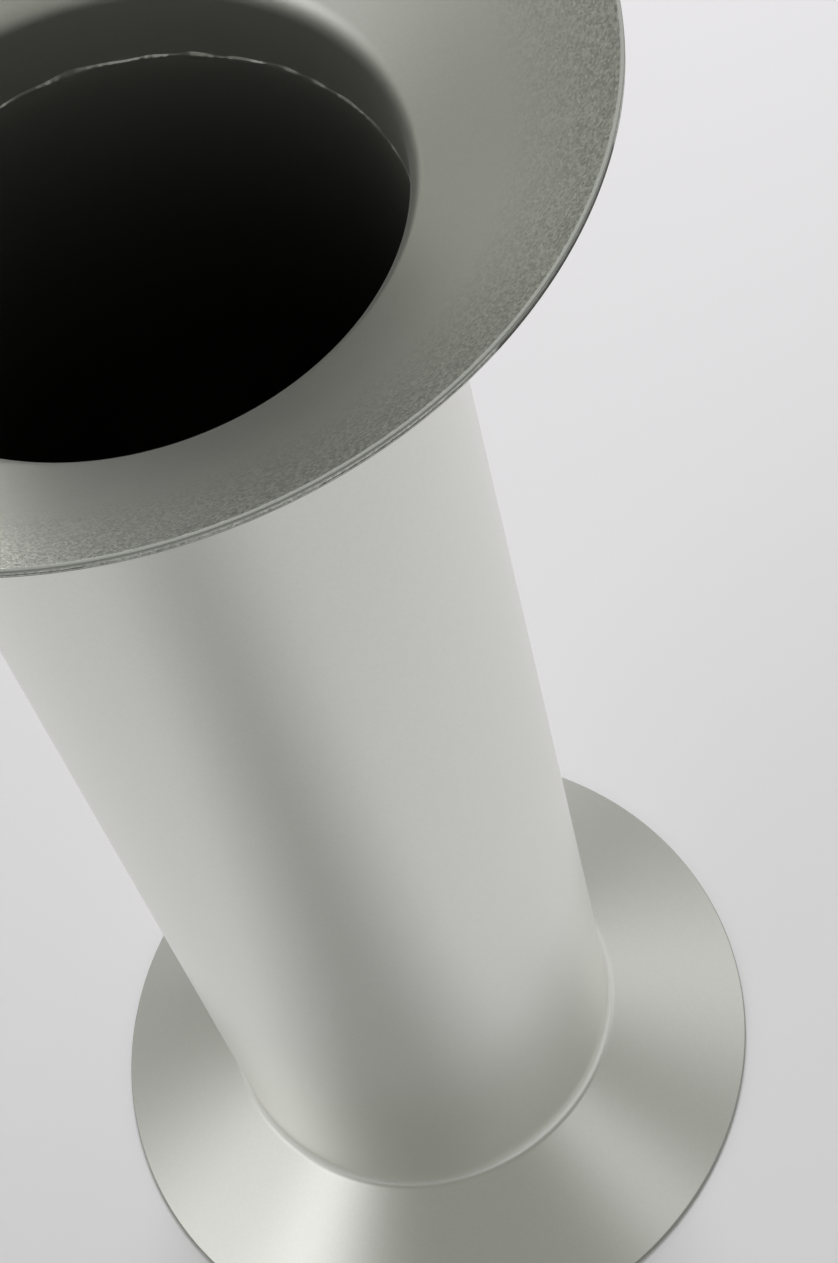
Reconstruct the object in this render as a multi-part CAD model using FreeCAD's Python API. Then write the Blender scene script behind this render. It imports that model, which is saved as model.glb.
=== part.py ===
import FreeCAD, Part
import math
import os

# Pillar candle mould, millimetres. The axis is Z and the foot stands on z = 0.
# Two spun flares with tight bends are butt-welded to a parallel tube. The upper one is
# the pouring mouth. The lower one is the foot, of heavier sheet. A dished floor sits in
# the foot's longer neck, and a thumbscrew under it clamps the wick and plugs the hole.

# Shell
overall_height = 295.0      # foot to rim
rim_radius = 66.75          # outside edge of both flares
bore_radius = 38.1          # candle radius, half of a three-inch pillar
shell_wall = 1.2            # tube and mouth thickness
foot_wall = 2.2             # heavier sheet of the foot, all of it added inside
mouth_slope = 35.5          # fall of the mouth's cone towards the bore, degrees
foot_slope = 33.0           # rise of the foot's cone towards the bore, degrees
mouth_bend = 3.8            # radius of the mouth's bend on the outside
foot_bend = 3.0             # radius of the foot's bend on the outside
mouth_neck = 10.5           # straight neck between the bend and the upper weld
foot_neck = 25.0            # longer neck at the foot, which also holds the floor
rim_land = 0.4              # narrow flat ground on the upper rim
foot_land = 2.6             # flat ground under the foot
arris_break = 0.2           # bevel on the sharp corners of the rims

# Butt welds between the necks and the tube
root_gap = 0.6              # weld metal between the two ends
root_width = 1.2            # width of the bead on the bore side
root_height = 0.15          # how far the bead stands into the bore
neck_land = 0.4             # end of the foot's neck that is turned out to the bore

# Floor
floor_wall = 1.2            # floor sheet thickness
floor_gap = 0.05            # radial gap between the floor's skirt and the neck
dish_slope = 12.0           # fall of the dish towards the wick hole, degrees
dish_flat_radius = 13.0     # level land round the wick bush
knuckle_radius = 3.0        # bend from the dish to the skirt, outside
skirt_length = 8.0          # straight skirt below the knuckle
floor_drop = 2.3            # from the neck's turned-out end down to the straight skirt
floor_weld_leg = 1.1        # leg of the fillet bead under the skirt

# Wick fittings
wick_hole_radius = 1.25
wick_land = 2.0             # length of the wick hole
spigot_radius = 7.0         # bush through the floor
braze_gap = 0.02            # radial gap between the bush and the floor's hole
collar_radius = 11.0        # bush below the floor
collar_height = 9.0
screw_radius = 4.0          # outside of the thread, M8
thread_clearance = 0.05     # radial running clearance of the thread
thread_chamfer = 0.6        # lead-in at the screw's tip and at the bush's mouth
tip_gap = 0.5               # squeezed wick between the screw's tip and the bush
seal_radius = 9.0
seal_thickness = 2.0
face_gap = 0.1              # between the seal and the faces it is squeezed by
knob_radius = 11.5
knob_height = 12.0
knob_chamfer = 1.0

DISH = math.radians(dish_slope)
outside_radius = bore_radius + shell_wall
foot_bore = bore_radius - (foot_wall - shell_wall)


def point(radius, height):
    """A point of a half section, in the XZ plane."""
    return FreeCAD.Vector(radius, 0, height)


def polar(centre, radius, angle):
    """The point at an angle on a circle in the half section."""
    return (centre[0] + radius * math.cos(angle), centre[1] + radius * math.sin(angle))


def revolve(outline):
    """Turn a closed half section about Z. Each entry is a (radius, height) corner,
    or ("arc", middle point) for an arc through that point to the next corner."""
    edges = []
    corners = outline + [outline[0]]
    start = None
    middle = None
    for entry in corners:
        if entry[0] == "arc":
            middle = point(*entry[1])
            continue
        end = point(*entry)
        if start is not None and middle is not None:
            edges.append(Part.Arc(start, middle, end).toShape())
        elif start is not None:
            edges.append(Part.LineSegment(start, end).toShape())
        start = end
        middle = None
    face = Part.Face(Part.Wire(edges))
    solid = face.revolve(FreeCAD.Vector(0, 0, 0), FreeCAD.Vector(0, 0, 1), 360)
    return solid if solid.Volume > 0 else solid.reversed()


def bend_centre(wall, slope, bend, land):
    """Centre of the flare's bend: radius, and depth below the plane of the rim."""
    fall = math.radians(slope)
    radius = outside_radius + bend
    run = rim_radius - land - radius
    depth = (bend + wall + run * math.sin(fall)) / math.cos(fall)
    return radius, depth


def seam_depth(wall, slope, bend, land, neck):
    """Depth of the middle of the butt weld below the plane of the rim."""
    return bend_centre(wall, slope, bend, land)[1] + neck + root_gap / 2


def flare(wall, slope, bend, land, neck, height_at):
    """A spun flare: flat land, straight cone, bend and neck. Depths are counted
    from the rim's plane, and height_at turns a depth into a height. A neck with a
    smaller bore than the tube's is turned out to it at the end."""
    fall = math.radians(slope)
    centre = bend_centre(wall, slope, bend, land)
    inside_bend = bend + wall
    extra = wall - shell_wall
    neck_end = centre[1] + neck
    edge_depth = wall / math.cos(fall) - land * math.tan(fall)
    tangent = -math.pi / 2 - fall
    middle = (tangent - math.pi) / 2
    break_run = arris_break * math.tan(fall)
    depths = [
        (rim_radius - land, 0),
        polar(centre, inside_bend, tangent),
        ("arc", polar(centre, inside_bend, middle)),
        (bore_radius - extra, centre[1]),
    ]
    if extra > 0:
        depths.append((bore_radius - extra, neck_end - neck_land - extra))
        depths.append((bore_radius, neck_end - neck_land))
    depths += [
        (bore_radius, neck_end),
        (outside_radius, neck_end),
        (outside_radius, centre[1]),
        ("arc", polar(centre, bend, middle)),
        polar(centre, bend, tangent),
        (rim_radius - arris_break, edge_depth + break_run),
        (rim_radius, edge_depth - arris_break),
        (rim_radius, arris_break),
        (rim_radius - arris_break, 0),
    ]
    outline = []
    for entry in depths:
        if entry[0] == "arc":
            radius, depth = entry[1]
            outline.append(("arc", (radius, height_at(depth))))
        else:
            radius, depth = entry
            outline.append((radius, height_at(depth)))
    return revolve(outline)


def from_rim(depth):
    return overall_height - depth


def from_foot(depth):
    return depth


MOUTH = (shell_wall, mouth_slope, mouth_bend, rim_land, mouth_neck)
FOOT = (foot_wall, foot_slope, foot_bend, foot_land, foot_neck)
upper_seam = from_rim(seam_depth(*MOUTH))
lower_seam = from_foot(seam_depth(*FOOT))


def barrel():
    """The parallel tube between the two butt welds."""
    bottom = lower_seam + root_gap / 2
    top = upper_seam - root_gap / 2
    return revolve([
        (bore_radius, bottom),
        (outside_radius, bottom),
        (outside_radius, top),
        (bore_radius, top),
    ])


def seam_weld(seam):
    """Butt weld: metal through the wall, flush outside, with a low bead in the bore."""
    return revolve([
        (bore_radius, seam - root_width / 2),
        (bore_radius, seam - root_gap / 2),
        (outside_radius, seam - root_gap / 2),
        (outside_radius, seam + root_gap / 2),
        (bore_radius, seam + root_gap / 2),
        (bore_radius, seam + root_width / 2),
        ("arc", (bore_radius - root_height, seam)),
    ])


# Places that follow from the floor's cup
skirt_radius = foot_bore - floor_gap
turned_out_end = lower_seam - root_gap / 2 - neck_land - (bore_radius - foot_bore)
knuckle = (skirt_radius - knuckle_radius, turned_out_end - floor_drop)
skirt_end = knuckle[1] - skirt_length
floor_level = knuckle[1] - (
    (knuckle[0] - dish_flat_radius) * math.sin(DISH) - knuckle_radius
) / math.cos(DISH)

# Places that follow from the stack of wick fittings under the floor
bush_bottom = floor_level - floor_wall - collar_height
screw_tip = floor_level - wick_land - tip_gap
seal_top = bush_bottom - face_gap
seal_bottom = seal_top - seal_thickness
knob_top = seal_bottom - face_gap
knob_bottom = knob_top - knob_height


def mould_floor():
    """Spun cup: level land, shallow dish, knuckle and a skirt that points down."""
    inside_knuckle = knuckle_radius - floor_wall
    tangent = math.pi / 2 + DISH
    hole = spigot_radius + braze_gap
    under_corner = dish_flat_radius + floor_wall * math.tan(DISH / 2)
    return revolve([
        (hole, floor_level),
        (dish_flat_radius, floor_level),
        polar(knuckle, knuckle_radius, tangent),
        ("arc", polar(knuckle, knuckle_radius, tangent / 2)),
        (skirt_radius, knuckle[1]),
        (skirt_radius, skirt_end),
        (skirt_radius - floor_wall, skirt_end),
        (skirt_radius - floor_wall, knuckle[1]),
        ("arc", polar(knuckle, inside_knuckle, tangent / 2)),
        polar(knuckle, inside_knuckle, tangent),
        (under_corner, floor_level - floor_wall),
        (hole, floor_level - floor_wall),
    ])


def floor_weld():
    """Hollow fillet bead between the skirt's end and the neck of the foot."""
    hollow = floor_weld_leg * 0.35
    return revolve([
        (foot_bore, skirt_end),
        (foot_bore - floor_weld_leg, skirt_end),
        ("arc", (foot_bore - hollow, skirt_end - hollow)),
        (foot_bore, skirt_end - floor_weld_leg),
    ])


def wick_bush():
    """Turned bush: wick hole on top, threaded bore below, collar under the floor."""
    bore = screw_radius + thread_clearance
    return revolve([
        (wick_hole_radius, floor_level),
        (spigot_radius, floor_level),
        (spigot_radius, floor_level - floor_wall),
        (collar_radius, floor_level - floor_wall),
        (collar_radius, bush_bottom),
        (bore + thread_chamfer, bush_bottom),
        (bore, bush_bottom + thread_chamfer),
        (bore, floor_level - wick_land),
        (wick_hole_radius, floor_level - wick_land),
    ])


def wick_seal():
    """Flat washer round the screw."""
    hole = screw_radius + thread_clearance
    return revolve([
        (hole, seal_top),
        (seal_radius, seal_top),
        (seal_radius, seal_bottom),
        (hole, seal_bottom),
    ])


def wick_screw():
    """Thumbscrew: threaded shank with a round grip below the seal."""
    return revolve([
        (0, screw_tip),
        (screw_radius - thread_chamfer, screw_tip),
        (screw_radius, screw_tip - thread_chamfer),
        (screw_radius, knob_top),
        (knob_radius - knob_chamfer, knob_top),
        (knob_radius, knob_top - knob_chamfer),
        (knob_radius, knob_bottom + knob_chamfer),
        (knob_radius - knob_chamfer, knob_bottom),
        (0, knob_bottom),
    ])


def build():
    """Make every piece and write one file for each."""
    pieces = {
        "pour_flare": flare(*MOUTH, from_rim),
        "upper_seam_weld": seam_weld(upper_seam),
        "mould_barrel": barrel(),
        "lower_seam_weld": seam_weld(lower_seam),
        "base_flare": flare(*FOOT, from_foot),
        "mould_floor": mould_floor(),
        "floor_weld": floor_weld(),
        "wick_bush": wick_bush(),
        "wick_seal": wick_seal(),
        "wick_screw": wick_screw(),
    }
    os.makedirs("parts", exist_ok=True)
    for name, solid in pieces.items():
        solid.exportStep(f"parts/{name}.step")
        box = solid.BoundBox
        print(f"{name}: valid {solid.isValid()}, {solid.Volume:.1f} mm3, z {box.ZMin:.3f} to {box.ZMax:.3f}")
    print(f"lower seam {lower_seam:.3f}, upper seam {upper_seam:.3f}, floor {floor_level:.3f}")
    print(f"knuckle {knuckle[1]:.3f}, skirt end {skirt_end:.3f}, bush bottom {bush_bottom:.3f}")
    print(f"seal {seal_bottom:.3f} to {seal_top:.3f}, knob {knob_bottom:.3f} to {knob_top:.3f}")


build()
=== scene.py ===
import logging
import math
from dataclasses import dataclass, field
from enum import Enum
from typing import Callable, Optional, Sequence, Union

import bpy
import numpy as np
from mathutils import Matrix, Vector


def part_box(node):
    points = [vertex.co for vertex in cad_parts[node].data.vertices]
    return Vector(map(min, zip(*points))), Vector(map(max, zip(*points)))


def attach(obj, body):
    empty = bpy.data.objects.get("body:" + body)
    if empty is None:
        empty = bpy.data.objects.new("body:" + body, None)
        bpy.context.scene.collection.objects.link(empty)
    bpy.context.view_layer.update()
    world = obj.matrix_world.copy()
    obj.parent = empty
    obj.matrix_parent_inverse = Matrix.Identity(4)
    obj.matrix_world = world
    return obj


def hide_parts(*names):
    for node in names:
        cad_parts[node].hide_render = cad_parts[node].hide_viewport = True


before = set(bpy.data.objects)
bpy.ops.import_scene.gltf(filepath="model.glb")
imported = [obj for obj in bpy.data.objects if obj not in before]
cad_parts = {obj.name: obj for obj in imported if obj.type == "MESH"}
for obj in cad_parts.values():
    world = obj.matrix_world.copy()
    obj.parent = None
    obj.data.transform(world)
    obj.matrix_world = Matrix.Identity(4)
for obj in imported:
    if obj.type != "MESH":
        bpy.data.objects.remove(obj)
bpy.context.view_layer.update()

log = logging.getLogger("candle_mould")

MM = 0.001
TURN = 2.0 * math.pi
SHARP_ANGLE = math.radians(32.0)

CLOUDY = (0.3, 0.7)
"""The middle part of a noise, where nearly all of its values lie."""

Grid = np.ndarray
Warp = Callable[[Grid, Grid, Grid], tuple[Grid, Grid]]
Material = bpy.types.Material
Node = bpy.types.Node
Piece = bpy.types.Object
Socket = bpy.types.NodeSocket
Paint = Union[str, Socket]
NodeOwner = Union[Material, bpy.types.World]


# ---- colour and nodes

def linear(colour: str) -> tuple[float, float, float, float]:
    """Turn an sRGB hex colour into linear red, green, blue and alpha.

    Args:
        colour: Six hex digits with a leading hash.

    Returns:
        The linear colour with an alpha of one.
    """
    parts = np.array([int(colour[i:i + 2], 16) for i in (1, 3, 5)]) / 255.0
    low = parts / 12.92
    high = ((parts + 0.055) / 1.055) ** 2.4
    red, green, blue = np.where(parts <= 0.04045, low, high).tolist()
    return (red, green, blue, 1.0)


def feed(owner: NodeOwner, node: Node, inputs: dict) -> None:
    """Link outputs to a node's inputs, or set constants on them.

    Args:
        owner: The material or world that holds the node.
        node: The node.
        inputs: For each input, a constant or the output socket that feeds it.
    """
    for name, value in inputs.items():
        if isinstance(value, Socket):
            owner.node_tree.links.new(value, node.inputs[name])
        else:
            node.inputs[name].default_value = value


def add_node(owner: NodeOwner, kind: str, settings: Optional[dict] = None,
             inputs: Optional[dict] = None) -> Node:
    """Add one shader node.

    Args:
        owner: The material or world that gets the node.
        kind: The node's type, such as ShaderNodeBump.
        settings: Values for the node's own properties.
        inputs: For each input, a constant or the output socket that feeds it.

    Returns:
        The new node.
    """
    node = owner.node_tree.nodes.new(kind)
    for name, value in (settings or {}).items():
        setattr(node, name, value)
    feed(owner, node, inputs or {})
    return node


def new_material(name: str) -> tuple[Material, Node]:
    """Make an empty node material with its shader joined to its output.

    Args:
        name: The material's name.

    Returns:
        The material and its Principled shader.
    """
    material = bpy.data.materials.new(name)
    material.use_nodes = True
    material.node_tree.nodes.clear()
    shader = add_node(material, "ShaderNodeBsdfPrincipled")
    add_node(material, "ShaderNodeOutputMaterial", inputs={"Surface": shader.outputs[0]})
    return material, shader


def noise(material: Material, where: Socket, size_mm: float, detail: float,
          **inputs: float) -> Socket:
    """Add a noise, around one half, whose largest features are about one size across.

    Args:
        material: The material.
        where: The place, in metres.
        size_mm: The size of the features.
        detail: How many times it is repeated, each time half as large.
        inputs: Constants for the node's other inputs.
    """
    values = {"Vector": where, "Scale": 1.0 / (size_mm * MM), "Detail": detail, **inputs}
    return add_node(material, "ShaderNodeTexNoise", inputs=values).outputs[0]


def remap(material: Material, value: Socket, target: tuple[float, float],
          source: tuple[float, float] = (0.0, 1.0)) -> Socket:
    """Map a value's source range onto a target range, and hold it at the ends."""
    values = {"Value": value, "From Min": source[0], "From Max": source[1],
              "To Min": target[0], "To Max": target[1]}
    return add_node(material, "ShaderNodeMapRange", inputs=values).outputs[0]


def blend(material: Material, share: Socket, first: Paint, second: Paint,
          how: str = "MIX") -> Socket:
    """Blend two colours, each given as hex digits or an output socket.

    Args:
        material: The material.
        share: How much of the second colour is taken, from 0 to 1.
        first: The first colour.
        second: The second colour.
        how: The way they are blended.

    Returns:
        The blended colour.
    """
    first, second = (linear(paint) if isinstance(paint, str) else paint for paint in (first, second))
    settings = {"data_type": "RGBA", "blend_type": how}
    return add_node(material, "ShaderNodeMix", settings, {0: share, 6: first, 7: second}).outputs[2]


def toward(material: Material, share: Socket, value: Socket, goal: float) -> Socket:
    """Move a value toward a constant by a share from 0 to 1."""
    inputs = {0: share, 2: value, 3: goal}
    return add_node(material, "ShaderNodeMix", {"data_type": "FLOAT"}, inputs).outputs[0]


def marked(material: Material, name: str) -> Socket:
    """Read a number that mark() writes into a piece: zero where the piece has none."""
    return add_node(material, "ShaderNodeAttribute", {"attribute_name": name}).outputs["Fac"]


def bump(material: Material, height: Socket, distance: Union[float, Socket],
         strength: float = 1.0) -> Socket:
    """Turn a height from 0 to 1, which is one distance in metres deep, into a normal."""
    values = {"Height": height, "Distance": distance, "Strength": strength}
    return add_node(material, "ShaderNodeBump", inputs=values).outputs[0]


# ---- finishes

@dataclass(frozen=True)
class BlastedAluminium:
    """Spun aluminium, bead-blasted and clear-anodised.

    The blasting leaves a fine matt grain, which is coarse at the mouth's edge and fades
    elsewhere; mostly where it is coarse its facets get random lighter and darker colours,
    painted glints for its sparkle. The anodising leaves a faint grey-green cast. The arrises
    are rubbed duller than the faces. The bore, the neck and the mouth's groove get painted
    shade, a dark colour that deepens down the bore, and a rougher finish.
    """

    name: str = "blasted_anodised_aluminium"
    face: str = "#F0F1EC"
    shade: str = "#ECEDE7"
    rubbed: str = "#BFC1BC"
    # Colour of the painted shade in the bore, the neck and the mouth's groove.
    painted_shade: str = "#4B4C46"
    roughness: float = 0.29
    edge_roughness: float = 0.85
    dull_roughness: float = 0.49
    roughness_swing: float = 0.01
    grain_mm: float = 0.34
    cloud_mm: float = 38.0
    fine_depth_mm: float = 0.004
    coarse_depth_mm: float = 0.075
    # Painted glints: the range that scales each grain facet's colour at random, and the least share of
    # it away from the mouth's edge.
    painted_glint: tuple[float, float] = (0.45, 1.15)
    least_painted_glint: float = 0.06
    matt_at: float = 0.2

    def material(self) -> Material:
        """Build the material from its sizes and colours."""
        material, shader = new_material(self.name)
        place = add_node(material, "ShaderNodeTexCoord").outputs["Object"]
        grain = noise(material, place, self.grain_mm, 2.0, Roughness=0.6)
        facets = add_node(
            material, "ShaderNodeTexVoronoi",
            inputs={"Vector": place, "Scale": 1.0 / (self.grain_mm * MM), "Randomness": 1.0},
        ).outputs["Color"]
        cloud = noise(material, place, self.cloud_mm, 3.0)
        coarse, wear, inside = (marked(material, name) for name in ("coarse", "wear", "painted_shade"))

        tone = blend(material, cloud, self.shade, self.face)
        # Painted glints: facet colours are scaled up and down at random, most at the mouth's edge,
        # standing in for the grain's sparkle.
        share = remap(material, coarse, (self.least_painted_glint, 1.0))
        glint_painted = blend(material, share, tone, remap(material, facets, self.painted_glint), "MULTIPLY")
        worn = blend(material, wear, glint_painted, self.rubbed)

        ends = (self.roughness - self.roughness_swing, self.roughness + self.roughness_swing)
        gloss = remap(material, cloud, ends, CLOUDY)
        scuffed = toward(material, wear, gloss, self.edge_roughness)
        coated = remap(material, inside, (0.0, 1.0), (0.0, self.matt_at))
        depth = remap(material, coarse, (self.fine_depth_mm * MM, self.coarse_depth_mm * MM))
        feed(material, shader, {
            # Painted shade: the dark colour is mixed in where the piece is marked for it.
            "Base Color": blend(material, inside, worn, self.painted_shade),
            "Metallic": 1.0,
            "Roughness": toward(material, coated, scuffed, self.dull_roughness),
            "Normal": bump(material, grain, depth),
        })
        return material


@dataclass(frozen=True)
class TurnedMetal:
    """Metal cut on a lathe: fine rings follow the tool, and the colour is uneven."""

    name: str
    face: str
    tarnish: str
    rubbed: str
    roughness: float
    ring_mm: float = 0.14
    ring_depth_mm: float = 0.006
    stain_mm: float = 4.0
    smoother: float = 0.05
    rougher: float = 0.10

    def material(self) -> Material:
        """Build the material. The rings run along the piece's own UV map."""
        material, shader = new_material(self.name)
        place = add_node(material, "ShaderNodeTexCoord")
        along = add_node(material, "ShaderNodeSeparateXYZ", inputs={"Vector": place.outputs["UV"]})
        rings = add_node(
            material, "ShaderNodeTexNoise", {"noise_dimensions": "1D"},
            {"W": along.outputs["Y"], "Scale": 1.0 / self.ring_mm, "Detail": 3.0},
        ).outputs[0]
        stain = noise(material, place.outputs["Object"], self.stain_mm, 4.0)
        tone = blend(material, remap(material, stain, (0.0, 0.8), (0.38, 0.68)), self.face, self.tarnish)
        ends = (self.roughness - self.smoother, self.roughness + self.rougher)
        feed(material, shader, {
            "Base Color": blend(material, marked(material, "wear"), tone, self.rubbed),
            "Metallic": 1.0,
            "Roughness": remap(material, stain, ends, CLOUDY),
            "Normal": bump(material, rings, self.ring_depth_mm * MM, 0.8),
        })
        return material


@dataclass(frozen=True)
class WeldMetal:
    """Weld bead left as it froze, rougher than the sheet beside it."""

    name: str = "weld_aluminium"
    face: str = "#ECECE8"
    soot: str = "#C4C5C0"
    roughness: float = 0.50
    scale_mm: float = 0.5
    scale_depth_mm: float = 0.03
    soot_mm: float = 6.0

    def material(self) -> Material:
        """Build the material: fine scale in the bump, and soot in patches."""
        material, shader = new_material(self.name)
        place = add_node(material, "ShaderNodeTexCoord").outputs["Object"]
        scale = noise(material, place, self.scale_mm, 5.0)
        patches = noise(material, place, self.soot_mm, 3.0)
        feed(material, shader, {
            "Base Color": blend(material, patches, self.face, self.soot),
            "Metallic": 1.0,
            "Roughness": self.roughness,
            "Normal": bump(material, scale, self.scale_depth_mm * MM, 0.9),
        })
        return material


@dataclass(frozen=True)
class MouldedSilicone:
    """Brick-red silicone, moulded: matt, a little dusty, and soft at its edges."""

    name: str = "moulded_silicone"
    face: str = "#8E3B2C"
    dust: str = "#A9685A"
    roughness: float = 0.58
    skin_mm: float = 0.3
    skin_depth_mm: float = 0.02
    dust_mm: float = 3.0

    def material(self) -> Material:
        """Build the material: a fine skin in the bump and dust in patches."""
        material, shader = new_material(self.name)
        place = add_node(material, "ShaderNodeTexCoord").outputs["Object"]
        skin = noise(material, place, self.skin_mm, 3.0)
        patches = remap(material, noise(material, place, self.dust_mm, 5.0), (0.0, 0.6), (0.5, 0.75))
        feed(material, shader, {
            "Base Color": blend(material, patches, self.face, self.dust),
            "Roughness": self.roughness,
            "IOR": 1.41,
            "Normal": bump(material, skin, self.skin_depth_mm * MM, 0.6),
        })
        return material


# ---- turned shapes

@dataclass(frozen=True)
class Corner:
    """A corner of a half section: radius and height in metres, and its rounding."""

    radius: float
    height: float
    rounding: float = 0.0


@dataclass(frozen=True)
class Outline:
    """A half section as points, with how rubbed each point is from 0 to 1."""

    points: np.ndarray
    wear: np.ndarray
    closed: bool = True


def corner_arc(before: Corner, corner: Corner, after: Corner, steps: int) -> np.ndarray:
    """Round one corner. The arc touches both straight sides, so its centre lies on
    the bisector at the rounding over the sine of half the corner's angle.

    Args:
        before: The corner before this one.
        corner: The corner to round.
        after: The corner after this one.
        steps: How many chords the arc has.

    Returns:
        The arc's points, from the first side to the second.
    """
    here = np.array([corner.radius, corner.height])
    if corner.rounding <= 0.0:
        return here[None, :]
    to_before = np.array([before.radius, before.height]) - here
    to_after = np.array([after.radius, after.height]) - here
    to_before /= np.linalg.norm(to_before)
    to_after /= np.linalg.norm(to_after)
    half = 0.5 * math.acos(float(np.clip(to_before @ to_after, -1.0, 1.0)))
    bisector = (to_before + to_after) / np.linalg.norm(to_before + to_after)
    centre = here + bisector * corner.rounding / math.sin(half)
    reach = corner.rounding / math.tan(half)
    first = here + to_before * reach - centre
    last = here + to_after * reach - centre
    start = math.atan2(first[1], first[0])
    sweep = (math.atan2(last[1], last[0]) - start + math.pi) % TURN - math.pi
    angles = start + sweep * np.linspace(0.0, 1.0, steps + 1)
    return centre + corner.rounding * np.stack([np.cos(angles), np.sin(angles)], axis=1)


def outline_of(corners: Sequence[Corner], closed: bool = True, steps: int = 6,
               longest: float = 4.0 * MM, worn_under: float = 0.6 * MM,
               worn_reach: float = 0.15 * MM) -> Outline:
    """Join rounded corners with straight runs, cut into pieces of at most one length.

    Args:
        corners: The corners in order round the section.
        closed: Whether the last corner joins the first; if not, both lie on the axis.
        steps: Chords in a small arc. A large bend has four times as many.
        longest: The longest piece of a straight run.
        worn_under: Corners rounded by less than this are arrises, and rubbed.
        worn_reach: How far the rubbing fades out along a straight run.

    Returns:
        The outline, counter-clockwise in the plane of radius and height.
    """
    count = len(corners)
    arcs = []
    wears = []
    for index, corner in enumerate(corners):
        chords = steps * (4 if corner.rounding > worn_under else 1)
        arc = corner_arc(corners[index - 1], corner, corners[(index + 1) % count], chords)
        arcs.append(arc)
        rubbed = 1.0 if 0.0 < corner.rounding <= worn_under else 0.0
        wears.append(np.full(len(arc), rubbed))
    points = np.concatenate(arcs)
    wear = np.concatenate(wears)
    if closed:
        points = np.vstack([points, points[:1]])
        wear = np.append(wear, wear[0])
    length = distance_along(points)
    spans = np.diff(length)
    pieces = np.maximum(np.ceil(spans / longest).astype(int), 1)
    start = np.repeat(length[:-1], pieces)
    order = np.arange(pieces.sum()) - np.repeat(np.cumsum(pieces) - pieces, pieces)
    marks = start + order * np.repeat(spans / pieces, pieces)
    if not closed:
        marks = np.append(marks, length[-1])
    straight = spans > 4.0 * worn_reach
    marks = np.unique(np.concatenate([
        marks, length[:-1][straight] + worn_reach, length[1:][straight] - worn_reach,
    ]))
    radius = np.interp(marks, length, points[:, 0])
    height = np.interp(marks, length, points[:, 1])
    rubbed = (np.interp(marks, length, wear) > 0.999).astype(float)
    ahead = (np.arange(len(marks)) + 1) % len(marks)
    area = float(np.sum(radius * height[ahead] - radius[ahead] * height))
    result = np.stack([radius, height], axis=1)
    if area < 0.0:
        result = result[::-1].copy()
        rubbed = rubbed[::-1].copy()
    return Outline(result, rubbed, closed)


def distance_along(points: np.ndarray) -> np.ndarray:
    """Measure how far along a line each of its points is, from the first one."""
    return np.concatenate([[0.0], np.cumsum(np.linalg.norm(np.diff(points, axis=0), axis=1))])


def turned(name: str, outline: Outline, segments: int = 384,
           warp: Optional[Warp] = None) -> Piece:
    """Turn an outline about Z. A point at angle a is (r cos a, r sin a, z), and a
    warp may change r and z as a function of a, r and z. The quads run round first
    and then along the outline, which makes a counter-clockwise outline face out.

    Args:
        name: The piece's name.
        outline: The half section. An open one starts and ends on the axis.
        segments: Steps in a full turn.
        warp: Takes grids of angle, radius and height, and returns radius and height.

    Returns:
        The new object, with a UV map (turns, millimetres along) and a wear attribute.
    """
    rows = len(outline.points)
    angle = np.arange(segments) * TURN / segments
    turn_grid, radius = np.meshgrid(angle, outline.points[:, 0])
    height = np.repeat(outline.points[:, 1][:, None], segments, axis=1)
    if warp is not None:
        radius, height = warp(turn_grid, radius, height)
    where = np.stack([radius * np.cos(turn_grid), radius * np.sin(turn_grid), height], axis=2)
    along = distance_along(outline.points) / MM
    index = np.arange(rows * segments).reshape(rows, segments)
    step = np.roll(np.arange(segments), -1)
    if outline.closed:
        low, high = index, np.roll(index, -1, axis=0)
        wear = np.repeat(outline.wear, segments)
        vertices = where.reshape(-1, 3)
        tail = float(np.linalg.norm(outline.points[0] - outline.points[-1])) / MM
        v_low, v_high = along, np.append(along[1:], along[-1] + tail)
        fans = []
    else:
        low, high = index[1:-2], index[2:-1]
        body = where[1:-1].reshape(-1, 3)
        poles = np.array([[0.0, 0.0, height[0].mean()], [0.0, 0.0, height[-1].mean()]])
        vertices = np.concatenate([body, poles])
        low, high = low - segments, high - segments
        wear = np.concatenate([np.repeat(outline.wear[1:-1], segments), [0.0, 0.0]])
        v_low, v_high = along[1:-2], along[2:-1]
        fans = [(len(body), 0, True), (len(body) + 1, (rows - 3) * segments, False)]
    quads = np.stack([low, low[:, step], high[:, step], high], axis=2).reshape(-1, 4)
    turns = np.arange(segments) / segments
    next_turns = turns + 1 / segments
    u_quads = np.tile(np.stack([turns, next_turns, next_turns, turns], axis=1), (len(low), 1))
    v_quads = np.repeat(np.stack([v_low, v_low, v_high, v_high], axis=1), segments, axis=0)
    loops = [quads.reshape(-1)]
    loop_uv = [np.stack([u_quads.reshape(-1), v_quads.reshape(-1)], axis=1)]
    sizes = [np.full(len(quads), 4)]
    ring = np.arange(segments)
    for pole, first, start in fans:
        here, ahead = first + ring, first + ring[step]
        pole_column = np.full(segments, pole)
        trio = [pole_column, ahead, here] if start else [pole_column, here, ahead]
        loops.append(np.stack(trio, axis=1).reshape(-1))
        edge_v = along[1] if start else along[-2]
        pole_v = along[0] if start else along[-1]
        u_fan = np.repeat(turns, 3)
        v_fan = np.tile([pole_v, edge_v, edge_v], segments)
        loop_uv.append(np.stack([u_fan, v_fan], axis=1))
        sizes.append(np.full(segments, 3))
    mesh = fill_mesh(name, vertices, *map(np.concatenate, (loops, sizes, loop_uv)))
    mesh.set_sharp_from_angle(angle=SHARP_ANGLE)
    piece = put(name, mesh)
    mark(piece, "wear", wear)
    return piece


def put(name: str, data: bpy.types.ID) -> Piece:
    """Put a mesh, a light or a camera into the scene as a new object."""
    piece = bpy.data.objects.new(name, data)
    bpy.context.scene.collection.objects.link(piece)
    return piece


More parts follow.
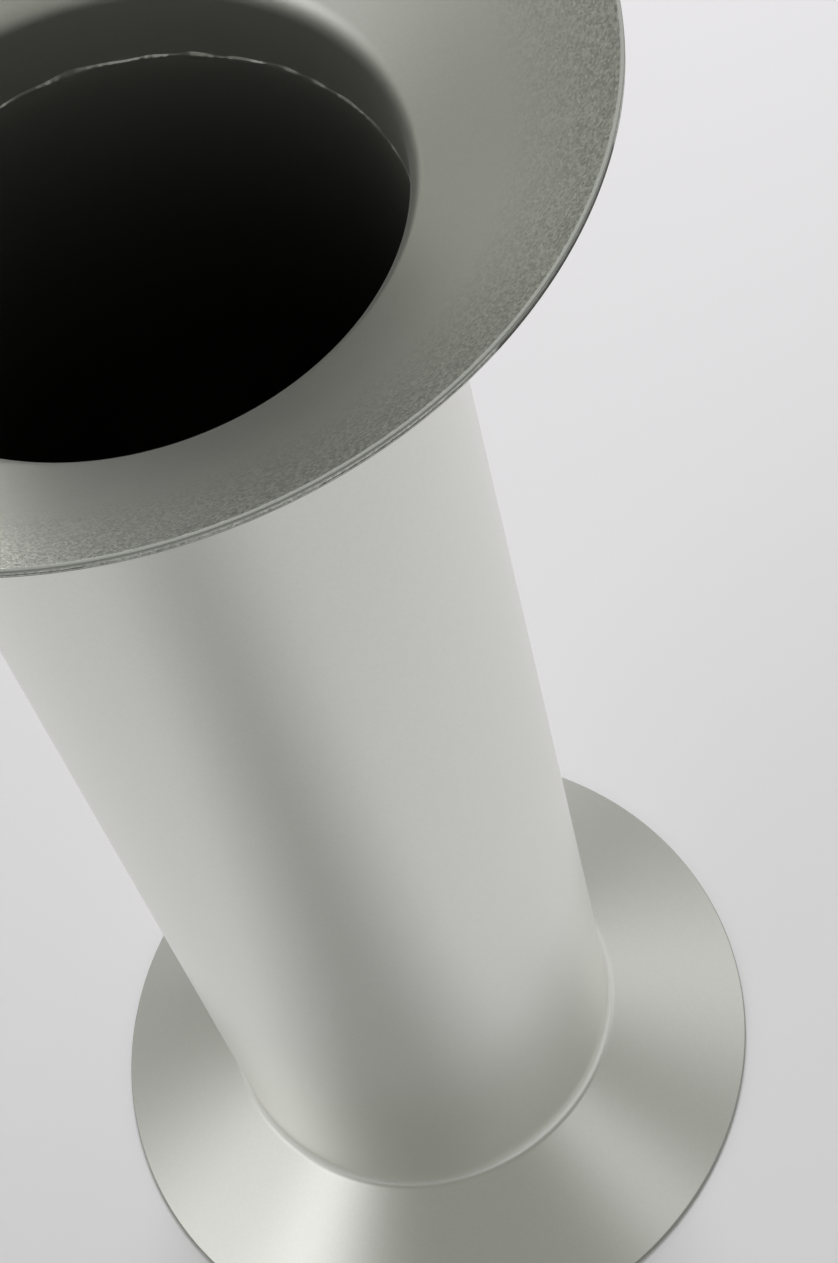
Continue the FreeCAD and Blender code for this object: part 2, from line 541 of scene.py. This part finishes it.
def mark(piece: Piece, name: str, values: np.ndarray) -> None:
    """Write one number per point into a named attribute, for the shaders to read.

    Args:
        piece: The piece.
        name: The attribute's name.
        values: A number for each point.
    """
    attribute = piece.data.attributes.new(name, "FLOAT", "POINT")
    attribute.data.foreach_set("value", values.astype(np.float32))


def read_points(piece: Piece) -> np.ndarray:
    """Read a piece's points.

    Args:
        piece: The piece.

    Returns:
        One row of x, y and z for each point.
    """
    flat = np.empty(3 * len(piece.data.vertices), dtype=np.float32)
    piece.data.vertices.foreach_get("co", flat)
    return flat.reshape(-1, 3)


def fill_mesh(name: str, vertices: np.ndarray, loops: np.ndarray, sizes: np.ndarray,
              loop_uv: np.ndarray) -> bpy.types.Mesh:
    """Put whole arrays of points, corners and face sizes into a new mesh.

    Args:
        name: The mesh's name.
        vertices: Points, one row each.
        loops: Point numbers of every face's corners, one face after another.
        sizes: How many corners each face has.
        loop_uv: A UV pair for every corner.

    Returns:
        The mesh, shaded smooth.
    """
    mesh = bpy.data.meshes.new(name)
    mesh.vertices.add(len(vertices))
    mesh.vertices.foreach_set("co", vertices.astype(np.float32).reshape(-1))
    mesh.loops.add(len(loops))
    mesh.loops.foreach_set("vertex_index", loops.astype(np.int32))
    mesh.polygons.add(len(sizes))
    starts = np.cumsum(sizes) - sizes
    mesh.polygons.foreach_set("loop_start", starts.astype(np.int32))
    mesh.polygons.foreach_set("use_smooth", np.ones(len(sizes), dtype=bool))
    uv_map = mesh.uv_layers.new(name="UVMap")
    uv_map.data.foreach_set("uv", loop_uv.astype(np.float32).reshape(-1))
    mesh.update(calc_edges=True)
    mesh.validate()
    return mesh


def uneven(angle: Grid, seed: int, lowest: int, highest: int) -> Grid:
    """A smooth closed unevenness round a ring: a sum of cosines whose whole-number
    frequencies run from lowest to highest, with seeded phases and sizes, scaled to
    a root mean square of one.

    Args:
        angle: Angles in radians.
        seed: Seed for the phases and sizes.
        lowest: The lowest frequency.
        highest: The highest frequency.

    Returns:
        The unevenness at each angle.
    """
    draw = np.random.default_rng(seed)
    orders = np.arange(lowest, highest + 1)
    phases = draw.uniform(0.0, TURN, len(orders))
    sizes = draw.uniform(0.3, 1.0, len(orders))
    cosines = np.cos(orders[:, None] * angle.reshape(1, -1) + phases[:, None])
    waves = np.tensordot(sizes, cosines, axes=1)
    return waves.reshape(angle.shape) / math.sqrt(0.5 * float(np.sum(sizes ** 2)))


def zigzag(turns: Grid) -> Grid:
    """A triangle wave that is 1 at every whole number and 0 halfway between."""
    return np.abs((turns % 1.0) * 2.0 - 1.0)


def dress(piece: Piece, material: Material, node: str,
          body: str) -> None:
    """Give a finished piece its material and its body, and hide the CAD node that it stands for.

    Args:
        piece: The finished piece.
        material: Its material.
        node: The CAD node that it stands for.
        body: The CAD body that it rides on.
    """
    piece.data.materials.append(material)
    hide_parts(node)
    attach(piece, body)
    log.info("%s stands for %s on %s", piece.name, node, body)


class End(Enum):
    """Which end of the shell a flare closes."""

    MOUTH = "pour_flare"
    FOOT = "base_flare"


@dataclass(frozen=True)
class Sheet:
    """How one flare is spun: its wall, its bend's outside radius, its flat land and
    its cone's slope."""

    wall: float
    bend: float
    land: float
    slope: float


@dataclass
class Shell:
    """The two flares, the tube and the two butt welds between them."""

    rim_radius: float = 66.75 * MM
    bore_radius: float = 38.1 * MM
    wall: float = 1.2 * MM
    arris: float = 0.3 * MM
    land_arris: float = 0.12 * MM
    sheets: dict[End, Sheet] = field(default_factory=lambda: {
        End.MOUTH: Sheet(1.2 * MM, 3.8 * MM, 0.4 * MM, math.radians(35.5)),
        End.FOOT: Sheet(2.2 * MM, 3.0 * MM, 2.6 * MM, math.radians(33.0)),
    })
    neck_land: float = 0.4 * MM
    neck_rounding: float = 0.2 * MM
    out_of_round: float = 0.05 * MM
    weld_gap: float = 0.6 * MM
    bead_width: float = 1.0 * MM
    bead_height: float = 0.14 * MM
    bead_rounding: float = 0.08 * MM
    bead_drift: float = 0.06 * MM
    bead_slow_swell: float = 0.45
    bead_quick_swell: float = 0.25
    bead_stretch: float = 0.30
    bead_limits: tuple[float, float] = (0.4, 1.6)
    groove_place: float = 0.62 * MM
    groove_width: float = 0.24 * MM
    groove_depth: float = 0.12 * MM
    groove_drift: float = 0.16 * MM
    coarse_band: float = 15.0 * MM
    clear_above: float = 0.25 * MM
    clear_below: float = 0.35 * MM
    # Painted shade in the neck and bore: its share in the neck and its fade over the bend, its share at
    # the top of the bore, and the depth and power by which it deepens to full.
    neck_painted_shade: float = 0.2
    neck_fade: float = 2.0 * MM
    bore_painted_shade: float = 0.3
    painted_shade_depth: float = 70.0 * MM
    painted_shade_power: float = 0.4

    @property
    def outside(self) -> float:
        """The outside radius of the tube and the necks."""
        return self.bore_radius + self.wall

    def thickness(self, sheet: Sheet) -> float:
        """How thick a cone is when it is measured along the axis."""
        return sheet.wall / math.cos(sheet.slope)

    def ovality(self, angle: Grid, radius: Grid, height: Grid) -> tuple[Grid, Grid]:
        """Spinning and welding leave the shell a few hundredths out of round. The
        radius grows by a small cosine sum in the angle, which fades in with the
        square of the distance beyond the tube, so that the bore stays true."""
        flared = (radius - self.bore_radius - self.wall) / (self.rim_radius - self.bore_radius)
        share = np.clip(flared, 0.0, 1.0) ** 2
        return radius + self.out_of_round * uneven(angle, 7, 2, 5) * share, height

    def section(self, end: End) -> list[tuple[float, float, float]]:
        """List a flare's corners: land, cone, bend, neck, and back along the outside.
        The end of a neck of heavier sheet is turned out to the tube's bore.

        Args:
            end: Which end it is.

        Returns:
            Each corner's radius, its depth behind the open edge, and its rounding.
        """
        low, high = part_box(end.value)
        sheet = self.sheets[end]
        rise = math.tan(sheet.slope)
        inside = self.outside - sheet.wall
        extra = sheet.wall - self.wall
        neck = high.z - low.z
        reach = self.rim_radius - sheet.land
        thick = self.thickness(sheet)
        section = [
            (reach, 0.0, self.land_arris),
            (inside, (reach - inside) * rise, sheet.bend + sheet.wall),
        ]
        if extra > 0.0:
            section.append((inside, neck - self.neck_land - extra, self.neck_rounding))
            section.append((self.bore_radius, neck - self.neck_land, 0.0))
        section += [
            (self.bore_radius, neck, 0.0),
            (self.outside, neck, 0.0),
            (self.outside, (reach - self.outside) * rise + thick, sheet.bend),
            (self.rim_radius, thick - sheet.land * rise, self.arris),
        ]
        if end is End.MOUTH:
            section += self.groove()
        section.append((self.rim_radius, 0.0, self.land_arris))
        return section

    def groove(self) -> list[tuple[float, float, float]]:
        """List the corners of the fine groove turned into the mouth's edge, from its
        lower lip to its upper one, in the way that section() does."""
        half = 0.5 * self.groove_width
        bottom = self.rim_radius - self.groove_depth
        lip = self.rim_radius
        steps = ((lip, half), (bottom, 0.4 * half), (bottom, -0.4 * half), (lip, -half))
        return [(radius, self.groove_place + step, 0.0) for radius, step in steps]

    def flare(self, end: End) -> Piece:
        """Turn one flare, and let the mouth's groove drift up and down its edge.

        Args:
            end: Which end it is.

        Returns:
            The flare.
        """
        low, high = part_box(end.value)
        open_edge, inward = {End.MOUTH: (high.z, -1.0), End.FOOT: (low.z, 1.0)}[end]
        corners = [
            Corner(radius, open_edge + inward * depth, rounding)
            for radius, depth, rounding in self.section(end)
        ]

        def shape(angle: Grid, radius: Grid, height: Grid) -> tuple[Grid, Grid]:
            """Move the groove's points, then put the whole out of round."""
            near = np.abs(high.z - height - self.groove_place) < 0.75 * self.groove_width
            on_edge = (end is End.MOUTH) & near & (radius > self.rim_radius - 1.5 * self.groove_depth)
            drift = self.groove_drift * np.tanh(uneven(angle, 11, 1, 4))
            return self.ovality(angle, radius, height - on_edge * drift)

        piece = turned(f"{end.value}_spun", outline_of(corners, longest=1.6 * MM), 448, shape)
        if end is End.MOUTH:
            self.mark_mouth(piece, high.z)
        return piece

    def mark_mouth(self, piece: Piece, top: float) -> None:
        """Mark where the mouth's grain is coarse, with its painted glints, and where it gets painted
        shade and a rougher finish: in the groove, inside the neck, and fading out over the bend.

        Args:
            piece: The mouth.
            top: The height of its rim.
        """
        where = read_points(piece)
        radius = np.hypot(where[:, 0], where[:, 1])
        height = where[:, 2]
        edge = (radius - self.rim_radius + self.coarse_band) / self.coarse_band
        mark(piece, "coarse", np.clip(edge, 0.0, 1.0))

        sheet = self.sheets[End.MOUTH]
        thick = self.thickness(sheet)
        sunk = (self.rim_radius - radius) / self.groove_depth
        in_groove = (sunk > 0.5) & (sunk < 1.5)
        in_groove &= (height < top - self.clear_above) & (height > top - thick + self.clear_below)

        centre = self.outside + sheet.bend
        run = self.rim_radius - sheet.land - centre
        slant = (sheet.bend + sheet.wall) / math.cos(sheet.slope)
        bend_height = top - run * math.tan(sheet.slope) - slant
        from_centre = np.hypot(radius - centre, height - bend_height)
        rolled = (from_centre > sheet.bend + 0.5 * sheet.wall) & (height >= bend_height)
        fade = np.clip(1.0 - (radius - self.bore_radius) / self.neck_fade, 0.0, 1.0)
        lining = radius < self.bore_radius + 0.5 * self.wall
        in_neck = np.where(height < bend_height, lining, rolled * fade)
        # Painted shade: full in the groove, the neck's share inside the neck and over the bend.
        mark(piece, "painted_shade", np.where(in_groove, 1.0, self.neck_painted_shade * in_neck))

    def tube(self) -> Piece:
        """Turn the plain tube between the two welds. Its bore gets painted shade, darker with depth, and
        a rougher finish.
        """
        low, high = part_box("mould_barrel")
        corners = [
            Corner(self.bore_radius, low.z),
            Corner(self.outside, low.z),
            Corner(self.outside, high.z),
            Corner(self.bore_radius, high.z),
        ]
        piece = turned("mould_barrel_drawn", outline_of(corners, longest=2.5 * MM), 384)
        where = read_points(piece)
        inside = np.hypot(where[:, 0], where[:, 1]) < self.bore_radius + 0.5 * self.wall
        deep = np.clip((high.z - where[:, 2]) / self.painted_shade_depth, 0.0, 1.0)
        share = self.bore_painted_shade + (1.0 - self.bore_painted_shade) * deep ** self.painted_shade_power
        # Painted shade in the bore, growing from its share at the top to full at the given depth.
        mark(piece, "painted_shade", inside * share)
        return piece

    def seam(self, node: str, seed: int) -> Piece:
        """Turn one butt weld: a web through the wall, flush outside, and a bead in the
        bore. The bead wanders up and down, swells and shrinks, and carries the fine
        ripples of the weld pool: its height is the even bead's times one plus a slow
        cosine sum and a quick one.

        Args:
            node: The weld's CAD node.
            seed: Seed of its unevenness.

        Returns:
            The weld.
        """
        low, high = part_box(node)
        middle = 0.5 * (low.z + high.z)
        half_gap = 0.5 * self.weld_gap
        half_bead = 0.5 * self.bead_width
        crown = self.bead_height
        corners = [
            Corner(self.outside, middle - half_gap),
            Corner(self.outside, middle + half_gap),
            Corner(self.bore_radius, middle + half_gap),
            Corner(self.bore_radius, middle + half_bead),
            Corner(self.bore_radius - crown, middle + 0.25 * half_bead, self.bead_rounding),
            Corner(self.bore_radius - crown, middle - 0.25 * half_bead, self.bead_rounding),
            Corner(self.bore_radius, middle - half_bead),
            Corner(self.bore_radius, middle - half_gap),
        ]

        def wander(angle: Grid, radius: Grid, height: Grid) -> tuple[Grid, Grid]:
            """Move only the bead: its share is 1 at the crown and 0 at the wall."""
            proud = np.clip((self.bore_radius - radius) / crown, 0.0, 1.0)
            near = np.where(radius <= self.bore_radius + 0.01 * MM, 1.0, 0.0)
            drift = self.bead_drift * uneven(angle, seed, 3, 24)
            slow = self.bead_slow_swell * uneven(angle, seed + 1, 6, 60)
            quick = self.bead_quick_swell * uneven(angle, seed + 2, 150, 190)
            stretch = self.bead_stretch * uneven(angle, seed + 3, 5, 40)
            new_height = middle + (height - middle) * (1.0 + near * stretch) + near * drift
            new_radius = radius - proud * crown * (np.clip(1.0 + slow + quick, *self.bead_limits) - 1.0)
            edge = (np.abs(height - middle) <= half_gap * 1.01) & (proud == 0.0)
            return new_radius, np.where(edge, height, new_height)

        return turned(f"{node}_bead", outline_of(corners, longest=0.6 * MM, steps=4), 768, wander)

    def flush_faces(self, piece: Piece) -> np.ndarray:
        """Find a weld's faces that are dressed flush with the outside of the tube.

        Args:
            piece: The weld.

        Returns:
            One for each flush face and zero for the others.
        """
        middles = np.empty(3 * len(piece.data.polygons), dtype=np.float32)
        piece.data.polygons.foreach_get("center", middles)
        radius = np.hypot(*middles.reshape(-1, 3)[:, :2].T)
        return (radius > self.bore_radius + 0.95 * self.wall).astype(np.int32)

    def build(self, aluminium: Material, weld: Material) -> None:
        """Build and dress every piece of the shell.

        Args:
            aluminium: Material of the sheet.
            weld: Material of the welds.
        """
        for end in End:
            dress(self.flare(end), aluminium, end.value, "mould")
        dress(self.tube(), aluminium, "mould_barrel", "mould")
        for seed, node in enumerate(("upper_seam_weld", "lower_seam_weld")):
            piece = self.seam(node, 20 + 10 * seed)
            dress(piece, weld, node, "mould")
            piece.data.materials.append(aluminium)
            piece.data.polygons.foreach_set("material_index", self.flush_faces(piece))


@dataclass
class FloorCup:
    """The dished floor and the fillet bead that seals it into the foot's neck."""

    sheet: float = 1.2 * MM
    hole: float = 7.02 * MM
    level_radius: float = 13.0 * MM
    slope: float = math.radians(12.0)
    knuckle: float = 3.0 * MM
    soft_bend: float = 8.0 * MM
    corner: float = 0.15 * MM
    bead_leg: float = 1.1 * MM
    bead_hollow: float = 0.35
    bead_bend: float = 1.6
    slow_push: float = 0.05 * MM
    quick_push: float = 0.035 * MM

    def cup(self) -> Piece:
        """Turn the cup: level land, shallow cone, knuckle, skirt, and back underneath.
        The cone meets the skirt's line where the knuckle's rounding starts."""
        low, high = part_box("mould_floor")
        skirt = high.x
        rise = math.tan(self.slope)
        middle = high.z - self.knuckle
        centre = skirt - self.knuckle
        drop = (centre - self.level_radius) * rise - self.knuckle / math.cos(self.slope)
        level = middle - drop
        under = level - self.sheet
        under_corner = self.level_radius + self.sheet * math.tan(0.5 * self.slope)
        inside = skirt - self.sheet
        corners = [
            Corner(self.hole, under),
            Corner(under_corner, under, self.soft_bend),
            Corner(inside, under + (inside - under_corner) * rise, self.knuckle - self.sheet),
            Corner(inside, low.z, self.corner),
            Corner(skirt, low.z, self.corner),
            Corner(skirt, level + (skirt - self.level_radius) * rise, self.knuckle),
            Corner(self.level_radius, level, self.soft_bend),
            Corner(self.hole, level),
        ]
        return turned("mould_floor_spun", outline_of(corners, longest=1.2 * MM), 320)

    def fillet(self) -> Piece:
        """Turn the hollow fillet bead. Its face is pushed in and out by a cosine sum,
        quick for the weld pool's ripples and slow for the hand that made it."""
        low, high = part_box("floor_weld")
        wall = high.x
        leg = self.bead_leg
        hollow = self.bead_hollow * leg
        corners = [
            Corner(wall, high.z),
            Corner(wall - leg, high.z),
            Corner(wall - hollow, high.z - hollow, self.bead_bend * leg),
            Corner(wall, high.z - leg),
        ]

        def ripple(angle: Grid, radius: Grid, height: Grid) -> tuple[Grid, Grid]:
            """Move each point along the face's normal by its distance from both legs."""
            share = np.clip((wall - radius) * (high.z - height) / (hollow * hollow), 0.0, 1.0)
            slow = self.slow_push * uneven(angle, 61, 4, 30)
            quick = self.quick_push * uneven(angle, 62, 120, 150)
            return radius - share * (slow + quick), height - share * (slow + quick)

        return turned("floor_weld_bead", outline_of(corners, longest=0.3 * MM, steps=5), 768, ripple)

    def build(self, spun: Material, weld: Material) -> None:
        """Build and dress the cup and its bead.

        Args:
            spun: Material of the spun floor.
            weld: Material of the bead.
        """
        dress(self.cup(), spun, "mould_floor", "mould")
        dress(self.fillet(), weld, "floor_weld", "mould")


@dataclass
class WickFittings:
    """The bush in the floor, the washer under it, and the thumbscrew."""

    wick_radius: float = 1.25 * MM
    wick_land: float = 2.0 * MM
    spigot: float = 7.0 * MM
    sheet: float = 1.2 * MM
    thread_radius: float = 4.0 * MM
    clearance: float = 0.05 * MM
    pitch: float = 1.25 * MM
    thread_depth: float = 0.7625 * MM
    thread_start: float = 0.4 * MM
    thread_fade: float = 0.8 * MM
    crest_flat: float = 0.2
    lead_in: float = 0.6 * MM
    edge: float = 0.25 * MM
    wick_lead_in: float = 0.4 * MM
    turned_edge: float = 0.1 * MM
    groove_depth: float = 0.6 * MM
    groove_lip: float = 0.12 * MM
    groove_root: float = 0.15 * MM
    seal_lip: float = 0.2 * MM
    seal_edge: float = 0.5 * MM
    seal_bulge: float = 0.22 * MM
    seal_uneven: float = 0.03 * MM
    knurl_teeth: int = 48
    knurl_depth: float = 0.38 * MM
    knurl_lean: float = math.radians(30.0)
    knurl_margin: float = 0.9 * MM
    knurl_fade: float = 0.3 * MM
    knurl_sharpness: float = 1.35
    grip_height: float = 12.0 * MM
    grip_chamfer: float = 1.0 * MM
    grip_edge: float = 0.2 * MM
    grip_dish: float = 0.8 * MM

    def bush(self) -> Piece:
        """Turn the bush: wick hole with a lead-in, spigot, grooved collar, bore."""
        low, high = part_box("wick_bush")
        collar = high.x
        shoulder = high.z - self.sheet
        bore = self.thread_radius + self.clearance
        groove = self.groove_depth
        third = (shoulder - low.z) / 3.0
        corners = [
            Corner(self.wick_radius + self.wick_lead_in, high.z, self.turned_edge),
            Corner(self.spigot, high.z),
            Corner(self.spigot, shoulder),
            Corner(collar, shoulder, self.edge),
        ]
        for middle in (shoulder - third, low.z + third):
            corners += [
                Corner(collar, middle + groove, self.groove_lip),
                Corner(collar - groove, middle, self.groove_root),
                Corner(collar, middle - groove, self.groove_lip),
            ]
        corners += [
            Corner(collar, low.z, self.edge),
            Corner(bore + self.lead_in, low.z, self.turned_edge),
            Corner(bore, low.z + self.lead_in),
            Corner(bore, high.z - self.wick_land),
            Corner(self.wick_radius, high.z - self.wick_land),
            Corner(self.wick_radius, high.z - self.wick_lead_in),
        ]
        return turned("wick_bush_turned", outline_of(corners, longest=1.2 * MM), 256)

    def seal(self) -> Piece:
        """Turn the washer. Squeezed rubber bulges: its rim is moved out by a parabola
        over its thickness."""
        low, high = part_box("wick_seal")
        bore = self.thread_radius + self.clearance
        corners = [
            Corner(bore, low.z, self.seal_lip),
            Corner(high.x, low.z, self.seal_edge),
            Corner(high.x, high.z, self.seal_edge),
            Corner(bore, high.z, self.seal_lip),
        ]
        middle = 0.5 * (low.z + high.z)
        half = 0.5 * (high.z - low.z)

        def bulge(angle: Grid, radius: Grid, height: Grid) -> tuple[Grid, Grid]:
            """Push the outer rim out where the washer is free to swell."""
            outer = np.clip((radius - 0.7 * high.x) / (0.3 * high.x), 0.0, 1.0)
            crown = 1.0 - ((height - middle) / half) ** 2
            swell = self.seal_bulge + self.seal_uneven * uneven(angle, 71, 2, 9)
            return radius + outer * crown * swell, height

        return turned("wick_seal_moulded", outline_of(corners, longest=0.25 * MM, steps=5), 256, bulge)

    def screw(self) -> Piece:
        """Turn the thumbscrew. On the shank the radius falls from the crest to the root
        as a triangle wave of height over pitch less angle over a full turn, which is a
        right-hand thread. On the grip two such waves that lean opposite ways cross, and
        the smaller of them cuts the diamonds. Both fade out at their ends."""
        low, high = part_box("wick_screw")
        grip = high.x
        under = low.z + self.grip_height
        chamfer = self.grip_chamfer
        corners = [
            Corner(0.0, low.z + self.grip_dish),
            Corner(0.62 * grip, low.z + self.grip_dish, 1.0 * MM),
            Corner(0.70 * grip, low.z, 0.5 * MM),
            Corner(grip - chamfer, low.z, self.grip_edge),
            Corner(grip, low.z + chamfer, self.grip_edge),
            Corner(grip, under - chamfer, self.grip_edge),
            Corner(grip - chamfer, under, self.grip_edge),
            Corner(self.thread_radius, under, 0.15 * MM),
            Corner(self.thread_radius, high.z - self.lead_in, self.turned_edge),
            Corner(self.thread_radius - self.lead_in, high.z, self.turned_edge),
            Corner(0.0, high.z),
        ]
        lean = math.tan(self.knurl_lean) / grip

        def cut(angle: Grid, radius: Grid, height: Grid) -> tuple[Grid, Grid]:
            """Cut the thread and the diamonds into a plain outline."""
            wave = zigzag(height / self.pitch - angle / TURN)
            on_shank = np.clip((height - under - self.thread_start) / self.thread_fade, 0.0, 1.0)
            on_shank = on_shank * (radius > self.thread_radius - self.lead_in - 0.2 * MM)
            root = self.thread_radius - self.thread_depth
            flank = np.clip(wave / (1.0 - self.crest_flat), 0.0, 1.0)
            trimmed = np.minimum(radius, root + self.thread_depth * flank)
            shank = radius + on_shank * (trimmed - radius)
            swing = (height - low.z) * lean
            first, second = (zigzag((angle + way * swing) * self.knurl_teeth / TURN) for way in (1, -1))
            diamond = np.clip(self.knurl_sharpness * np.minimum(first, second), 0.0, 1.0)
            ends = np.minimum(height - low.z, under - height)
            on_grip = np.clip((ends - self.knurl_margin) / self.knurl_fade, 0.0, 1.0)
            on_grip = on_grip * (radius > grip - 0.2 * MM)
            grown = shank - on_grip * self.knurl_depth * (1.0 - diamond)
            return np.where(height < under, grown, shank), height

        outline = outline_of(corners, closed=False, steps=3, longest=0.2 * MM)
        return turned("wick_screw_knurled", outline, 336, cut)

    def build(self, brass: Material, silicone: Material) -> None:
        """Build and dress the three fittings.

        Args:
            brass: Material of the bush and the screw.
            silicone: Material of the washer.
        """
        dress(self.bush(), brass, "wick_bush", "mould")
        dress(self.seal(), silicone, "wick_seal", "seal")
        dress(self.screw(), brass, "wick_screw", "screw")


# ---- studio

@dataclass(frozen=True)
class Lobe:
    """A soft patch of light in the surroundings: where it is, how wide, how bright."""

    azimuth: float
    elevation: float
    sharpness: float
    strength: float


@dataclass(frozen=True)
class Panel:
    """A square soft panel: its bearing in degrees, how far off and how high it stands
    and its side in metres, and its power."""

    azimuth: float
    distance: float
    height: float
    side: float
    watts: float


@dataclass
class Studio:
    """Pale floor, soft surroundings, a soft panel and the camera."""

    floor_half: float = 20.0
    floor_drop: float = 0.02 * MM
    floor_cells: int = 8
    aim: tuple[float, float, float] = (0.0, 0.0, 0.08)
    floor_colour: str = "#F3F2F5"
    air_colour: str = "#FCFFF3"
    lamp_colour: str = "#FEFCFF"
    ambient: float = 0.25
    lobes: tuple[Lobe, ...] = (
        Lobe(80.0, 12.0, 10.0, 0.52),
        Lobe(268.0, 13.0, 10.0, 0.75),
        Lobe(134.0, 38.0, 60.0, 0.6),
        Lobe(246.0, 34.0, 60.0, 1.05),
        Lobe(300.0, 42.0, 6.0, 0.1),
        Lobe(180.0, 45.0, 8.0, 0.05),
    )
    panels: tuple[Panel, ...] = (
        Panel(22.0, 0.74, 0.90, 0.5, 6.8),
    )
    focal_mm: float = 73.91
    sensor_mm: float = 36.0
    place: tuple[float, float, float] = (0.0, -0.22782, 0.51769)
    yaw: float = 0.09676
    pitch: float = -1.00834
    roll: float = -0.29268

    def floor(self) -> None:
        """Lay a large pale sheet that the foot stands on."""
        steps = np.linspace(-self.floor_half, self.floor_half, self.floor_cells + 1)
        across, along = np.meshgrid(steps, steps)
        points = np.stack([across, along, np.full_like(across, -self.floor_drop)], axis=2).reshape(-1, 3)
        index = np.arange(len(points)).reshape(across.shape)
        sides = (index[:-1, :-1], index[:-1, 1:], index[1:, 1:], index[1:, :-1])
        quads = np.stack(sides, axis=2).reshape(-1)
        uv = points[quads][:, :2] / self.floor_half
        mesh = fill_mesh("paper_floor", points, quads, np.full(self.floor_cells ** 2, 4), uv)
        sheet = put("paper_floor", mesh)
        material, shader = new_material("matt_paper")
        feed(material, shader, {"Base Color": linear(self.floor_colour), "Roughness": 0.85})
        mesh.materials.append(material)

    def camera(self) -> None:
        """Put the camera where it looks steeply down over the rim, a little rolled."""
        flat = math.cos(self.pitch)
        ahead = Vector((math.sin(self.yaw) * flat, math.cos(self.yaw) * flat, math.sin(self.pitch)))
        right = ahead.cross(Vector((0.0, 0.0, 1.0))).normalized()
        up = right.cross(ahead)
        turn_cos, turn_sin = math.cos(self.roll), math.sin(self.roll)
        right_rolled = turn_cos * right + turn_sin * up
        up_rolled = turn_cos * up - turn_sin * right
        data = bpy.data.cameras.new("camera")
        data.sensor_fit = "VERTICAL"
        data.sensor_height = self.sensor_mm
        data.lens = self.focal_mm
        data.clip_start = 0.01
        data.clip_end = 50.0
        camera = put("camera", data)
        turn = Matrix((right_rolled, up_rolled, -ahead)).transposed().to_4x4()
        camera.matrix_world = Matrix.Translation(Vector(self.place)) @ turn
        bpy.context.scene.camera = camera

    def surroundings(self) -> None:
        """Light the set from all round: an even ambient plus soft lobes. A lobe is its
        strength times the cosine to its middle, raised to its sharpness."""
        world = bpy.data.worlds.new("studio_world")
        bpy.context.scene.world = world
        world.use_nodes = True
        world.node_tree.nodes.clear()
        place = add_node(world, "ShaderNodeTexCoord").outputs["Generated"]

        def sum_node(operation: str, *terms: Union[float, Socket]) -> Socket:
            """Work one sum on its terms, in their order."""
            node = add_node(world, "ShaderNodeMath", {"operation": operation}, dict(enumerate(terms)))
            return node.outputs[0]

        total = add_node(world, "ShaderNodeValue").outputs[0]
        total.default_value = 0.0
        for lobe in self.lobes:
            flat = math.cos(math.radians(lobe.elevation))
            bearing = math.radians(lobe.azimuth)
            up = math.sin(math.radians(lobe.elevation))
            middle = (flat * math.sin(bearing), flat * math.cos(bearing), up)
            facing = add_node(
                world, "ShaderNodeVectorMath", {"operation": "DOT_PRODUCT"}, {0: place, 1: middle},
            ).outputs["Value"]
            lit = sum_node("MAXIMUM", facing, 0.0)
            narrow = sum_node("POWER", lit, lobe.sharpness)
            total = sum_node("MULTIPLY_ADD", narrow, lobe.strength, total)
        air, lamps = (
            add_node(world, "ShaderNodeBackground", None, {"Color": linear(colour), "Strength": power})
            for colour, power in ((self.air_colour, self.ambient), (self.lamp_colour, total))
        )
        both = add_node(world, "ShaderNodeAddShader", inputs={0: air.outputs[0], 1: lamps.outputs[0]})
        add_node(world, "ShaderNodeOutputWorld", inputs={"Surface": both.outputs[0]})

    def hang(self) -> None:
        """Hang the soft panels and turn each one to the foot of the mould."""
        for number, panel in enumerate(self.panels):
            data = bpy.data.lights.new(f"panel_{number}", "AREA")
            data.size = panel.side
            data.energy = panel.watts
            data.color = linear(self.lamp_colour)[:3]
            bearing = math.radians(panel.azimuth)
            place = Vector((math.sin(bearing), math.cos(bearing), 0.0)) * panel.distance
            place.z = panel.height
            light = put(data.name, data)
            light.location = place
            light.rotation_euler = (Vector(self.aim) - place).to_track_quat("-Z", "Y").to_euler()

    def build(self) -> None:
        """Build the floor, the light and the camera."""
        bpy.context.scene.view_settings.view_transform = "Standard"
        self.floor()
        self.hang()
        self.surroundings()
        self.camera()


def main() -> None:
    """Build the mould's pieces and the studio."""
    logging.basicConfig(level=logging.INFO, format="%(name)s: %(message)s")
    aluminium = BlastedAluminium().material()
    weld = WeldMetal().material()
    spun = TurnedMetal("spun_aluminium", "#CFD0CC", "#B4B6B0", "#E2E3E0", 0.36, ring_mm=0.5).material()
    brass = TurnedMetal("turned_brass", "#D9BD7A", "#A98A4E", "#EBD9A6", 0.34).material()
    silicone = MouldedSilicone().material()
    Shell().build(aluminium, weld)
    FloorCup().build(spun, weld)
    WickFittings().build(brass, silicone)
    Studio().build()


if __name__ == "__main__":
    main()
